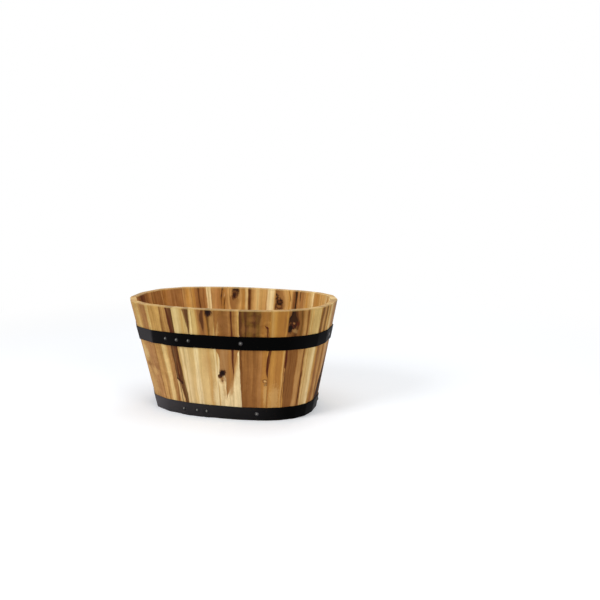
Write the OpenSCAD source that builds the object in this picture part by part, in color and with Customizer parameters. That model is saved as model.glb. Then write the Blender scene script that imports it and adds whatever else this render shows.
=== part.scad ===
// Oval stave-built planter: flat boards with mitred edges stand round a boarded bottom
// and are held by two lapped steel hoops. Millimetres, +Z up, long side along X,
// origin on the ground under the centre of the tub.

/* [Tub] */
// Length over the rim
rim_length = 410; // [300:1:620]
// Width over the rim
rim_width = 234; // [180:1:400]
// Length over the foot; the foot keeps the proportions of the rim
foot_length = 320; // [240:1:500]
// Height from the ground to the rim
tub_height = 212; // [150:1:360]
// Squareness of the oval: 2 is an ellipse, higher is squarer
oval_power = 2.6; // [2:0.1:4]

/* [Staves] */
// Thickness of the staves
stave_thickness = 12; // [9:0.5:18]
// Clearance between neighbouring staves
stave_gap = 0.04; // [0.02:0.01:0.2]

/* [Bottom] */
// Height of the bottom's underside above the ground, before the nails below it need more
bottom_rise = 20; // [12:0.5:40]
// Thickness of the bottom boards
bottom_thickness = 12; // [9:0.5:18]
// Depth of the groove that the bottom stands in
croze_depth = 5; // [4:0.5:7]
// Clearance between the bottom and its groove
croze_gap = 0.15; // [0.05:0.05:0.6]
// Clearance between neighbouring bottom boards
board_gap = 0.2; // [0.05:0.05:1]
// Diameter of the drain holes
drain_diameter = 12; // [6:0.5:20]
// Distance between neighbouring drain holes
drain_spacing = 95; // [70:1:110]
// Diameter of the dowels between the bottom boards
dowel_diameter = 6; // [4:0.5:7]
// Length of each dowel
dowel_length = 30; // [16:1:32]
// Distance between the two dowels in a joint
dowel_spacing = 120; // [60:1:150]
// Clearance round a dowel
dowel_gap = 0.05; // [0.03:0.01:0.1]

/* [Hoops] */
// Width of the hoop strip
hoop_width = 25; // [15:0.5:40]
// Thickness of the hoop strip
hoop_thickness = 1.2; // [0.8:0.1:2]
// Height of the upper hoop's lower edge
upper_hoop_height = 138; // [60:0.5:170]
// Height of the lower hoop's lower edge
lower_hoop_height = 1; // [0.5:0.5:8]
// Clearance between the hoops and the staves
hoop_gap = 0.05; // [0.02:0.01:0.3]
// Clearance between the two layers of a lap
lap_gap = 0.05; // [0.02:0.01:0.3]

/* [Nails] */
// Diameter of a nail's domed head
head_diameter = 8; // [5:0.5:12]
// Height of a nail's domed head
head_height = 2.2; // [1.2:0.1:3]
// Diameter of a nail's shank
shank_diameter = 2.4; // [1.6:0.1:3]
// Length of a nail under its head
shank_length = 10; // [7:0.5:11]
// Clearance round a shank in the wood and in the strip
shank_gap = 0.02; // [0.02:0.01:0.1]
// Clearance under a nail's head
head_gap = 0.02; // [0.02:0.01:0.1]
// Least wood between the nails of the lower hoop and the groove above them
nail_cover = 2; // [1:0.5:5]

/* [Hidden] */
$fn = 48;

// Widths of the staves along the rim, anticlockwise from the +X end; they share the
// rim's true length in these proportions
stave_widths = [
    46, 43, 42.5, 43.5, 55.5, 59, 51.5, 54.5, 46.5, 48.5, 48.5, 49.5,
    49.5, 51.5, 60, 41, 44, 48.8, 58.9, 32.9, 36.9, 29.5, 34
];
// Where the first stave starts, in the same measure from the +X end
first_joint = -17;
stave_count = len(stave_widths);

// Tones of acacia: pale sapwood, golden and brown heartwood
pale_wood = [0.84, 0.71, 0.49];
gold_wood = [0.76, 0.58, 0.34];
brown_wood = [0.60, 0.41, 0.24];
stave_tones = [
    gold_wood, pale_wood, gold_wood, gold_wood, gold_wood, pale_wood, gold_wood, brown_wood,
    brown_wood, gold_wood, brown_wood, gold_wood, pale_wood, gold_wood, gold_wood, pale_wood,
    pale_wood, gold_wood, brown_wood, gold_wood, brown_wood, pale_wood, gold_wood
];
black_paint = [0.07, 0.07, 0.075];

// Each lap from its visible end to its hidden end, as places [stave, share of its width],
// and the places of the nails, as [stave, share of its width, layers of strip under the head]
upper_hoop_lap = [[15, 0.47], [16, 0.84]];
lower_hoop_lap = [[15, 0.68], [17, 0.37]];
upper_lap_nails = [[15, 0.61, 2], [16, 0.08, 2], [16, 0.71, 2]];
lower_lap_nails = [[15, 0.86, 2], [16, 0.65, 2], [17, 0.24, 2]];
upper_single_nails = [[19, 0.055, 1], [1, 0.33, 1], [5, 0.8, 1], [9, 0.45, 1], [12, 0.4, 1]];
lower_single_nails = [[19, 0.66, 1], [2, 0.15, 1], [6, 0.4, 1], [10, 0.2, 1], [12, 0.4, 1]];
upper_nails = concat(upper_lap_nails, upper_single_nails);
lower_nails = concat(lower_lap_nails, lower_single_nails);
// Length along the wall in which a lapped strip steps down to the wall
lap_step = 4;
// Length left free between the hidden end and the step
lap_slack = 1.2;

bottom_board_count = 4;
// Drain holes as [steps of drain_spacing along X, bottom board]
drain_holes = [[-1, 2], [0, 3], [1, 2]];
// How far a cutting solid runs past what it cuts
overrun = 1;

function two_digits(n) = str(n < 10 ? "0" : "", n);
stave_names = [for (n = [1:stave_count]) str("stave_", two_digits(n))];
board_names = [for (n = [1:bottom_board_count]) str("bottom_board_", n)];

// ---- The oval of the rim, cut into staves ----

oval_steps = 720;
oval_step = 360 / oval_steps;

function signed_power(value, power) = sign(value) * pow(abs(value), power);
function oval_point(angle) = [
    rim_length / 2 * signed_power(cos(angle), 2 / oval_power),
    rim_width / 2 * signed_power(sin(angle), 2 / oval_power)
];

// Pairs of [length along the oval, angle]
oval_table = [
    for (
        k = 0, run = 0;
        k <= oval_steps;
        run = run + norm(oval_point((k + 1) * oval_step) - oval_point(k * oval_step)), k = k + 1
    ) [run, k * oval_step]
];
oval_run = oval_table[oval_steps][0];

function sum_to(list, n) = n <= 0 ? 0 : list[n - 1] + sum_to(list, n - 1);
run_per_width = oval_run / sum_to(stave_widths, stave_count);

function rough_corner(i) =
    let (run = (first_joint + sum_to(stave_widths, i)) * run_per_width)
    oval_point(lookup(run < 0 ? run + oval_run : run, oval_table));
rough_corners = [for (i = [0:stave_count - 1]) rough_corner(i)];

// The many-sided rim is stretched a little, so that its flats span the full length and width
function column(points, axis) = [for (p = points) p[axis]];
function span(points, axis) = max(column(points, axis)) - min(column(points, axis));
function middle(points, axis) = (max(column(points, axis)) + min(column(points, axis))) / 2;
rim_corners = [
    for (p = rough_corners) [
        (p.x - middle(rough_corners, 0)) * rim_length / span(rough_corners, 0),
        (p.y - middle(rough_corners, 1)) * rim_width / span(rough_corners, 1)
    ]
];

// ---- The walls: side i lies between corner i and corner i + 1 ----

function rim_corner(i) = rim_corners[(i + stave_count) % stave_count];
function taper(z) = (foot_length + (rim_length - foot_length) * z / tub_height) / rim_length;

// Direction that side i faces, seen from above
function side_angle(i) =
    let (run = rim_corner(i + 1) - rim_corner(i))
    atan2(run.y, run.x) - 90;
function side_normal(i) = [cos(side_angle(i)), sin(side_angle(i))];
// Angle by which side i leans outwards
function flare(i) = atan(side_normal(i) * rim_corner(i) * (1 - taper(0)) / tub_height);

// Level shift of corner i that sets both of its walls back by 1, square to each wall
function mitre(i) =
    let (
        a = side_normal(i - 1),
        b = side_normal(i),
        set_a = 1 / cos(flare(i - 1)),
        set_b = 1 / cos(flare(i)),
        turn = a.x * b.y - a.y * b.x
    )
    [(set_a * b.y - set_b * a.y) / turn, (a.x * set_b - b.x * set_a) / turn];

// Corner i of the tub at height z, set back by depth from the outer faces of the staves
mitres = [for (i = [0:stave_count - 1]) mitre(i)];
function corner(i, z, depth) =
    let (p = taper(z) * rim_corner(i) - depth * mitres[(i + stave_count) % stave_count])
    [p.x, p.y, z];

// Point at a share of the width of side i
function wall_point(i, share, z, depth) =
    corner(i, z, depth) * (1 - share) + corner(i + 1, z, depth) * share;
function wall_width(i, z) = norm(corner(i + 1, z, 0) - corner(i, z, 0));

// Straight solid between a lower and an upper outline, both anticlockwise from above
module loft(lower, upper) {
    n = len(lower);
    polyhedron(
        points = concat(lower, upper),
        faces = concat(
            [[for (k = [0:n - 1]) k]],
            [[for (k = [n - 1:-1:0]) k + n]],
            [for (k = [0:n - 1]) [k, k + n, (k + 1) % n + n, (k + 1) % n]]
        ),
        convexity = 6
    );
}

// Solid through a row of four-cornered sections
module ribbon(sections) {
    last = 4 * (len(sections) - 1);
    polyhedron(
        points = [for (section = sections, point = section) point],
        faces = concat(
            [[0, 1, 2, 3], [last + 3, last + 2, last + 1, last]],
            [
                for (k = [0:4:last - 4], side = [0:3], half = [0, 1])
                    let (a = k + side, b = k + (side + 1) % 4)
                    half == 0 ? [a, a + 4, b + 4] : [a, b + 4, b]
            ]
        ),
        convexity = 6
    );
}

// Everything inside the walls between two heights, set back by depth
module tub_slice(z_low, z_high, depth) {
    loft(
        [for (i = [0:stave_count - 1]) corner(i, z_low, depth)],
        [for (i = [0:stave_count - 1]) corner(i, z_high, depth)]
    );
}

// Puts its children on side i with their +Z square out of the wall
module on_wall(i, share, z, depth) {
    translate(wall_point(i, share, z, depth))
        rotate([0, 90 + flare(i), side_angle(i)])
            children();
}

// ---- Staves ----

nail_reach = lower_hoop_height + hoop_width / 2 + shank_diameter / 2
    + shank_length * sin(max([for (i = [0:stave_count - 1]) flare(i)]));
bottom_height = max(bottom_rise, nail_reach + nail_cover + croze_gap);
croze_low = bottom_height - croze_gap;
croze_high = bottom_height + bottom_thickness + croze_gap;
croze_floor = stave_thickness - croze_depth;

function stave_outline(i, z) =
    let (edge = stave_gap / 2 / wall_width(i, z))
    [
        wall_point(i, edge, z, 0),
        wall_point(i, 1 - edge, z, 0),
        wall_point(i, 1 - edge, z, stave_thickness),
        wall_point(i, edge, z, stave_thickness)
    ];

// Holes for the nails of one hoop in the stave of side i
module nail_holes(nails, hoop_height, i) {
    for (nail = nails)
        if (nail[0] - 1 == i)
            nail_shank(nail, hoop_height, shank_diameter / 2 + shank_gap, shank_length + shank_gap);
}

module stave(i) {
    color(stave_tones[i])
        difference() {
            loft(stave_outline(i, 0), stave_outline(i, tub_height));
            tub_slice(croze_low, croze_high, croze_floor);
            nail_holes(upper_nails, upper_hoop_height, i);
            nail_holes(lower_nails, lower_hoop_height, i);
        }
}

// ---- Bottom ----

bottom_top = bottom_height + bottom_thickness;
bottom_depth = croze_floor + croze_gap;
bottom_corners = [for (i = [0:stave_count - 1]) corner(i, bottom_top, bottom_depth)];
bottom_width = span(bottom_corners, 1);
bottom_front = middle(bottom_corners, 1) - bottom_width / 2;
board_pitch = bottom_width / bottom_board_count;

// Y of the joint in front of a board, counted from 1 at the front
function board_edge(n) = bottom_front + (n - 1) * board_pitch;

module dowel_row(diameter, length) {
    for (n = [2:bottom_board_count], side = [-1, 1])
        translate([side * dowel_spacing / 2, board_edge(n), bottom_height + bottom_thickness / 2])
            rotate([90, 0, 0])
                cylinder(d = diameter, h = length, center = true);
}

module bottom_board(n) {
    front = n == 1 ? board_edge(n) - overrun : board_edge(n) + board_gap / 2;
    back = n == bottom_board_count ? board_edge(n + 1) + overrun : board_edge(n + 1) - board_gap / 2;
    color(gold_wood)
        difference() {
            intersection() {
                tub_slice(bottom_height, bottom_top, bottom_depth);
                translate([-rim_length, front, 0])
                    cube([2 * rim_length, back - front, tub_height]);
            }
            for (hole = drain_holes)
                if (hole[1] == n)
                    translate([hole[0] * drain_spacing, board_edge(n) + board_pitch / 2, 0])
                        cylinder(d = drain_diameter, h = tub_height);
            dowel_row(dowel_diameter + 2 * dowel_gap, dowel_length + 2 * dowel_gap);
        }
}

module bottom_dowels() {
    color(pale_wood)
        dowel_row(dowel_diameter, dowel_length);
}

// ---- Hoops ----

// Depth of the inner face of a layer of strip; layer 1 lies on the wood, layer 2 on layer 1
function layer_depth(layer) = -hoop_gap - (layer - 1) * (hoop_thickness + lap_gap);

// Places along a lapped strip, as [side, share, layer], anticlockwise from its visible end
function strip_places(lap, z) =
    let (
        first = lap[0][0] - 1,
        last = lap[1][0] - 1,
        hidden = lap[1][1],
        step_top = hidden + lap_slack / wall_width(last, z),
        step_foot = step_top + lap_step / wall_width(last, z)
    )
    concat(
        [[first, lap[0][1], 2]],
        [for (i = [first + 1:last]) [i, 0, 2]],
        [[last, step_top, 2], [last, step_foot, 1]],
        [for (i = [last + 1:last + stave_count]) [i, 0, 1]],
        [[last + stave_count, hidden, 1]]
    );

// A place on a side leans with that side, and a place on a corner with the mean of its sides
function lean(place) =
    place[1] > 0 ? flare(place[0]) : (flare(place[0] - 1) + flare(place[0])) / 2;

// The edges of the strip stand square to the wall
function strip_point(place, z, depth) =
    wall_point(place[0], place[1], z + depth * sin(lean(place)), depth);
function strip_section(place, z_low, z_high) =
    let (inner = layer_depth(place[2]), outer = inner - hoop_thickness)
    [
        strip_point(place, z_low, outer),
        strip_point(place, z_low, inner),
        strip_point(place, z_high, inner),
        strip_point(place, z_high, outer)
    ];

module strip(lap, hoop_height, nails) {
    top = hoop_height + hoop_width;
    places = strip_places(lap, hoop_height + hoop_width / 2);
    color(black_paint)
        difference() {
            ribbon([for (place = places) strip_section(place, hoop_height, top)]);
            for (nail = nails)
                nail_shank(nail, hoop_height, shank_diameter / 2 + shank_gap, shank_length);
        }
}

module upper_hoop() {
    strip(upper_hoop_lap, upper_hoop_height, upper_nails);
}

module lower_hoop() {
    strip(lower_hoop_lap, lower_hoop_height, lower_nails);
}

// ---- Nails ----

// Puts its children under a nail's head, just off the outer face of its layer of strip
module on_strip(nail, hoop_height) {
    depth = layer_depth(nail[2]) - hoop_thickness - head_gap;
    on_wall(nail[0] - 1, nail[1], hoop_height + hoop_width / 2, depth)
        children();
}

// A straight round shank, from just above the strip down into the wood
module nail_shank(nail, hoop_height, radius, length) {
    on_strip(nail, hoop_height)
        translate([0, 0, -length])
            cylinder(r = radius, h = length + head_height / 2);
}

module domed_head() {
    dome_radius = (pow(head_diameter / 2, 2) + pow(head_height, 2)) / (2 * head_height);
    intersection() {
        translate([0, 0, head_height - dome_radius])
            sphere(r = dome_radius);
        cylinder(d = head_diameter + overrun, h = head_height + overrun);
    }
}

module nail_set(nails, hoop_height) {
    color(black_paint)
        for (nail = nails) {
            on_strip(nail, hoop_height) domed_head();
            nail_shank(nail, hoop_height, shank_diameter / 2, shank_length);
        }
}

module upper_hoop_lap_nails() {
    nail_set(upper_lap_nails, upper_hoop_height);
}

module upper_hoop_nails() {
    nail_set(upper_single_nails, upper_hoop_height);
}

module lower_hoop_lap_nails() {
    nail_set(lower_lap_nails, lower_hoop_height);
}

module lower_hoop_nails() {
    nail_set(lower_single_nails, lower_hoop_height);
}

for (i = [0:stave_count - 1])
    stave(i);
for (n = [1:bottom_board_count])
    bottom_board(n);
bottom_dowels();
upper_hoop();
lower_hoop();
upper_hoop_lap_nails();
upper_hoop_nails();
lower_hoop_lap_nails();
lower_hoop_nails();
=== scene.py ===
"""Looks of an oval stave-built planter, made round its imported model."""
import math
import random

import bmesh
import bpy
from bpy.props import FloatProperty, FloatVectorProperty, IntProperty, PointerProperty
from mathutils import Matrix, Vector


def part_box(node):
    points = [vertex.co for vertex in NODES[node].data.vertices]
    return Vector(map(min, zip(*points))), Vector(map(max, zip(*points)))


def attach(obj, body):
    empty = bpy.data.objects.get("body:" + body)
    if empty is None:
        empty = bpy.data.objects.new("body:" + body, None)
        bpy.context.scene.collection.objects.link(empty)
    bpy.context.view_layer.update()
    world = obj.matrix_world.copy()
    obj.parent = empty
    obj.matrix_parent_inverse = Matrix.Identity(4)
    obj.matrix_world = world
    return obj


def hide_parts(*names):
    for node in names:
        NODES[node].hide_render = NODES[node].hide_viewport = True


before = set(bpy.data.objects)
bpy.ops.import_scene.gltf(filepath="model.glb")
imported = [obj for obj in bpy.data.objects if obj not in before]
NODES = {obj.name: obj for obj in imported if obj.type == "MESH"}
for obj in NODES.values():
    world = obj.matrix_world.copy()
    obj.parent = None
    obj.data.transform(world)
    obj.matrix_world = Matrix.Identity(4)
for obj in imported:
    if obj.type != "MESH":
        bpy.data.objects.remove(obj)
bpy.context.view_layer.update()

bl_info = {
    "name": "Oval barrel planter",
    "version": (1, 0, 0),
    "blender": (4, 5, 0),
    "location": "3D View > Sidebar > Planter",
    "description": "Staves, bottom, hoops and nails of an oval wooden planter",
    "category": "Object",
}

STAVES = sorted(name for name in NODES if name.startswith("stave_"))
BOTTOM_BOARDS = sorted(name for name in NODES if name.startswith("bottom_board_"))
NAIL_SETS = sorted(name for name in NODES if name.endswith("_nails"))
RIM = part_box(STAVES[0])[1].z
CLOSE = 1e-5  # A point this near a level lies on it
CORNER = math.radians(30)  # Faces that meet at more than this make an edge that is eased
STRIP_EDGE = 0.02  # The hoops' edges that are longer than this run across the strip, or along it
BEHIND_HOOP = (0.62, 0.76)  # Between these shares of the height, the upper hoop hides a change of tone


def linear(*tone):
    """A tone given as 0 to 255 for a screen, as the linear values that shaders work in."""
    shares = [value / 255 for value in tone]
    return tuple(s / 12.92 if s <= 0.04045 else ((s + 0.055) / 1.055) ** 2.4 for s in shares)


def tone(name, description, *shade):
    return FloatVectorProperty(
        name=name, description=description, subtype="COLOR", size=3, min=0, max=1, default=linear(*shade)
    )


def length(name, description, default):
    return FloatProperty(
        name=name, description=description, default=default, min=0, max=0.05, unit="LENGTH", precision=5
    )


def share(name, description, default, high=1.0):
    return FloatProperty(name=name, description=description, default=default, min=0, max=high)


def power(name, description, default):
    return FloatProperty(name=name, description=description, default=default, min=0, unit="POWER")


def seed(default):
    return IntProperty(name="Seed", description="Start of the random draws", default=default, min=0)


class PlanterWood(bpy.types.PropertyGroup):
    cream: tone("Cream", "Palest sapwood", 234, 210, 160)
    straw: tone("Straw", "Yellow sapwood", 215, 182, 123)
    honey: tone("Honey", "Light heartwood", 202, 158, 95)
    gold: tone("Gold", "Orange heartwood", 187, 134, 65)
    amber: tone("Amber", "Deep orange heartwood", 173, 119, 57)
    tan: tone("Tan", "Plain heartwood", 183, 136, 81)
    rose: tone("Rose", "Pinkish heartwood", 168, 117, 67)
    clay: tone("Clay", "Red brown heartwood", 155, 105, 54)
    olive: tone("Olive", "Greenish brown heartwood", 116, 80, 34)
    brown: tone("Brown", "Brown heartwood", 139, 91, 46)
    umber: tone("Umber", "Dark heartwood", 86, 49, 23)
    russet: tone("Russet", "Dark red streaks", 80, 32, 14)
    bark: tone("Bark", "Knots and ingrown bark", 44, 21, 13)
    pitch: tone("Pitch", "Black heart of a knot", 24, 10, 6)
    rim: tone("Rim", "Freshly sanded end grain", 205, 170, 109)
    rim_cover: share("Rim cover", "How far the sanded tone covers the grain on the rim", 0.55)
    brow: tone("Oil", "Tint of the more oily wood near the rim", 240, 241, 223)
    # The inner tint, scaled up in timber, is painted light: it brightens the inner faces, which the tub's
    # walls shade.
    inner_painted_light: tone("Inner tint", "Tint of the inner faces, out of the weather", 251, 253, 248)
    figure: share("Figure", "Contrast of the grain lines", 0.93, 2.0)
    sheen: share("Roughness", "Roughness of the oiled faces", 0.52)


class PlanterStaves(bpy.types.PropertyGroup):
    rim_easing: length("Rim easing", "Rounding of the edges round the top", 0.0011)
    edge_easing: length("Edge easing", "Rounding of the long edges", 0.00045)
    foot_easing: length("Foot easing", "Rounding of the edges at the foot", 0.0007)
    corner_radius: length("Corner radius", "How round the joints between staves are sanded", 0.035)
    rim_drop: length("Rim unevenness", "Most that a stave stands below the rim", 0.0006)
    seed: seed(7)


class PlanterBottom(bpy.types.PropertyGroup):
    easing: length("Easing", "Rounding of the edges of the bottom boards and drain holes", 0.0006)


class PlanterIron(bpy.types.PropertyGroup):
    paint: tone("Paint", "Black paint", 4, 4, 4)
    # This tone is the dust, and also the grey of the painted sheen at the hoops' left ends, which stands in
    # for the light from the left.
    dust_and_sheen: tone("Dust", "Dry dust and scuffs on the paint", 92, 88, 90)
    # The pale grey of the painted highlight on the nail crowns.
    painted_highlight: tone("Worn", "Nail crowns where the paint is worn thin", 134, 132, 126)
    roughness: share("Roughness", "Roughness of the paint", 0.42)
    bend: length("Bend", "Rounding of the strip where it bends over a joint", 0.0018)
    edge: length("Edge", "Rounding of the strip's own edges", 0.00022)


class PlanterNails(bpy.types.PropertyGroup):
    lip: length("Lip", "Height of the upright edge of a head", 0.0004)
    flat: length("Flat", "Radius of the hammered flat on a head", 0.0009)
    # How strong the painted highlight on the nail crowns is.
    painted_highlight_share: share("Wear", "How far the paint is worn off the crowns", 0.8)
    steps: IntProperty(name="Steps", description="Sides of a head", default=32, min=12, max=64)
    seed: seed(11)


class PlanterStage(bpy.types.PropertyGroup):
    floor: tone("Floor", "Pale floor", 237, 240, 244)
    key: power("Main light", "Power from the front left", 24.6)
    fill: power("Fill light", "Power from the front right", 13)
    top: power("Top light", "Power from above", 9)
    back: power("Back light", "Power from behind", 7)
    air: share("Air", "Strength of the even light from all round", 0.375, 2.0)


# ---- Shader maths ----


class Wire:
    """A value on its way through a material. Arithmetic on a number adds Math nodes."""

    def __init__(self, finish, socket):
        self.finish = finish
        self.socket = socket

    def __add__(self, other):
        return self.finish.math("ADD", self, other)

    def __sub__(self, other):
        return self.finish.math("SUBTRACT", self, other)

    def __rsub__(self, other):
        return self.finish.math("SUBTRACT", other, self)

    def __mul__(self, other):
        return self.finish.math("MULTIPLY", self, other)

    def __truediv__(self, other):
        return self.finish.math("DIVIDE", self, other)

    def __pow__(self, other):
        return self.finish.math("POWER", self, other)

    __radd__ = __add__
    __rmul__ = __mul__

    def exp(self):
        return self.finish.math("EXPONENT", self)

    def least(self, other):
        return self.finish.math("MINIMUM", self, other)

    def most(self, other):
        return self.finish.math("MAXIMUM", self, other)

    def rise(self, start, end):
        """0 at start and 1 at end, smooth between them. It falls where end is below start."""
        if start > end:
            return 1 - self.rise(end, start)
        smooth = {"interpolation_type": "SMOOTHSTEP"}
        return self.finish.add("ShaderNodeMapRange", smooth, {0: self, 1: start, 2: end, 3: 0.0, 4: 1.0})


class Finish:
    """The nodes of a material or of the surroundings, and the way they are added."""

    def __init__(self, owner):
        owner.use_nodes = True
        self.owner = owner
        self.tree = owner.node_tree
        self.tree.nodes.clear()

    def add(self, kind, settings=None, sockets=None, out=0):
        """Adds a node, sets it up, fills or links its sockets and returns one of its outputs."""
        node = self.tree.nodes.new(kind)
        for key, value in (settings or {}).items():
            if key == "stops":
                self.set_stops(node.color_ramp, value)
            else:
                setattr(node, key, value)
        for key, value in (sockets or {}).items():
            if isinstance(value, Wire):
                self.tree.links.new(value.socket, node.inputs[key])
            else:
                node.inputs[key].default_value = value
        return Wire(self, node.outputs[out]) if len(node.outputs) else None

    @staticmethod
    def set_stops(ramp, stops):
        while len(ramp.elements) < len(stops):
            ramp.elements.new(0.5)
        for element, (place, colour) in zip(ramp.elements, sorted(stops)):
            element.position = place
            element.color = (*colour, 1.0)

    def outputs(self, kind, sockets=None):
        """Adds a node and returns all its outputs."""
        node = self.add(kind, {}, sockets).socket.node
        return [Wire(self, socket) for socket in node.outputs]

    def math(self, operation, *values):
        return self.add("ShaderNodeMath", {"operation": operation}, dict(enumerate(values)))

    def vector(self, operation, *values):
        return self.add("ShaderNodeVectorMath", {"operation": operation}, dict(enumerate(values)))

    def object_place(self):
        """The place on the object, in metres, because every piece sits at the origin."""
        return self.add("ShaderNodeTexCoord", out=3)

    def parts(self, vector):
        return self.outputs("ShaderNodeSeparateXYZ", {0: vector})

    def joined(self, x, y, z):
        return self.add("ShaderNodeCombineXYZ", {}, {0: x, 1: y, 2: z})

    def noise(self, place, cycles, shift=0.0, detail=2.0, distortion=0.0):
        """Even noise from 0 to 1, with its cycles per metre along each axis."""
        place = self.vector("MULTIPLY_ADD", place, cycles, (shift, shift * 0.7, shift * 1.3))
        grade = {"Scale": 1.0, "Detail": detail, "Roughness": 0.55, "Distortion": distortion}
        return self.add("ShaderNodeTexNoise", {}, {"Vector": place, **grade})

    def ramp(self, place, stops):
        return self.add("ShaderNodeValToRGB", {"stops": stops}, {0: place})

    def mix(self, factor, first, second, blend="MIX"):
        first, second = ((*c, 1.0) if isinstance(c, tuple) else c for c in (first, second))
        settings = {"data_type": "RGBA", "blend_type": blend}
        return self.add("ShaderNodeMix", settings, {0: factor, 6: first, 7: second}, out=2)

    def tinted(self, colour, tint):
        return self.mix(1.0, colour, tint, "MULTIPLY")

    def surface(self, colour, roughness, height, relief, gloss):
        """The closing shader: what changes goes to its colour, roughness and bump, and its gloss is fixed."""
        normal = self.add("ShaderNodeBump", {}, {"Strength": 1.0, "Distance": relief, "Height": height})
        varied = {"Base Color": colour, "Roughness": roughness, "Normal": normal}
        shader = self.add("ShaderNodeBsdfPrincipled", {}, {"Specular IOR Level": gloss, **varied})
        self.add("ShaderNodeOutputMaterial", {}, {0: shader})
        return self.owner


# ---- Boards ----


class Board:
    """The shape of a board: its foot, the ways across, through and along it, and its two long edges."""

    def __init__(self, foot, across, through, along, edges, thickness, length):
        self.foot, self.across, self.through, self.along = foot, across, through, along
        self.edges, self.thickness, self.length = edges, thickness, length

    def place(self, point):
        from_foot = point - self.foot
        return Vector(from_foot.dot(way) for way in (self.across, self.through, self.along))

    def line(self, side):
        """One long edge as its place across the board at the foot, and how much that changes per metre."""
        low, high = (self.place(point) for point in self.edges[side])
        slope = (high.x - low.x) / (high.z - low.z)
        return low.x - slope * low.z, slope

    def spot(self, place, height):
        """Where a share of the width and of the height lies, across and along the board."""
        (left_low, left_high), (right_low, right_high) = self.edges
        low = left_low.lerp(right_low, place)
        high = left_high.lerp(right_high, place)
        found = self.place(low.lerp(high, height))
        return found.x, found.z


def end_corners(node, height):
    """The corners of a stave's end: outer left, outer right, inner right and inner left, from outside."""
    level = [v.co for v in NODES[node].data.vertices if abs(v.co.z - height) < CLOSE]
    points = [Vector((x, y, height)) for x, y in {(round(co.x, 6), round(co.y, 6)) for co in level}]
    centre = sum(points, Vector()) / len(points)
    points.sort(key=lambda p: math.atan2(p.y - centre.y, p.x - centre.x))
    longest = max(range(4), key=lambda k: (points[(k + 1) % 4] - points[k]).length)
    return points[longest:] + points[:longest]


def stave_board(node, inside):
    """A stave's board; its edges are those of the inner face where the look is told from inside."""
    low, high = end_corners(node, 0.0), end_corners(node, RIM)
    foot = (low[0] + low[1]) / 2
    along = ((high[0] + high[1]) / 2 - foot).normalized()
    outward = (low[1] - low[0]).cross(along).normalized()
    edges = [(low[corner], high[corner]) for corner in ((3, 2) if inside else (0, 1))]
    thickness = (low[0] - low[3]).dot(outward)
    return Board(foot, along.cross(outward), -outward, along, edges, thickness, (high[0] - low[0]).length)


def bottom_plank(node):
    low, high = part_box(node)
    foot = Vector((low.x, (low.y + high.y) / 2, high.z))
    across, through, along = Vector((0, 1, 0)), Vector((0, 0, -1)), Vector((1, 0, 0))
    edges = [(Vector((low.x, y, high.z)), Vector((high.x, y, high.z))) for y in (low.y, high.y)]
    return Board(foot, across, through, along, edges, high.z - low.z, high.x - low.x)


def rows(text):
    """The rows of a text as tuples: its commas part the rows, and its blanks their numbers and tones."""
    told = [row.split() for row in text.split(", ")] if text else []
    return [tuple(word if word.isalpha() else float(word) for word in row) for row in told]


class Look:
    """How a board's wood looks. Widths are told from its left edge, and heights from its foot, as shares.

    upper and lower: rows of width and tone, above and below the upper hoop.
    veins: each its tone, softness and strength, and rows of height, left border and right border.
    patches: rows of tone, width, height, mm wide, mm tall, tilt and strength.
    knots: rows of width, height, mm wide, mm tall, tilt, centre, ring, halo and spread of the halo.
    curl: strength of the mottle across the grain, above and below the upper hoop.
    figure: contrast of the grain lines.
    inside: whether the places are those seen on the inner face.
    """

    def __init__(self, upper, lower="", veins=(), patches="", knots="", curl=(), figure=1, inside=False):
        self.upper, self.lower, self.patches, self.knots = map(rows, (upper, lower, patches, knots))
        self.veins = [(*vein, rows(path)) for *vein, path in veins]
        self.curl, self.figure, self.inside = curl, figure, inside


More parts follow.
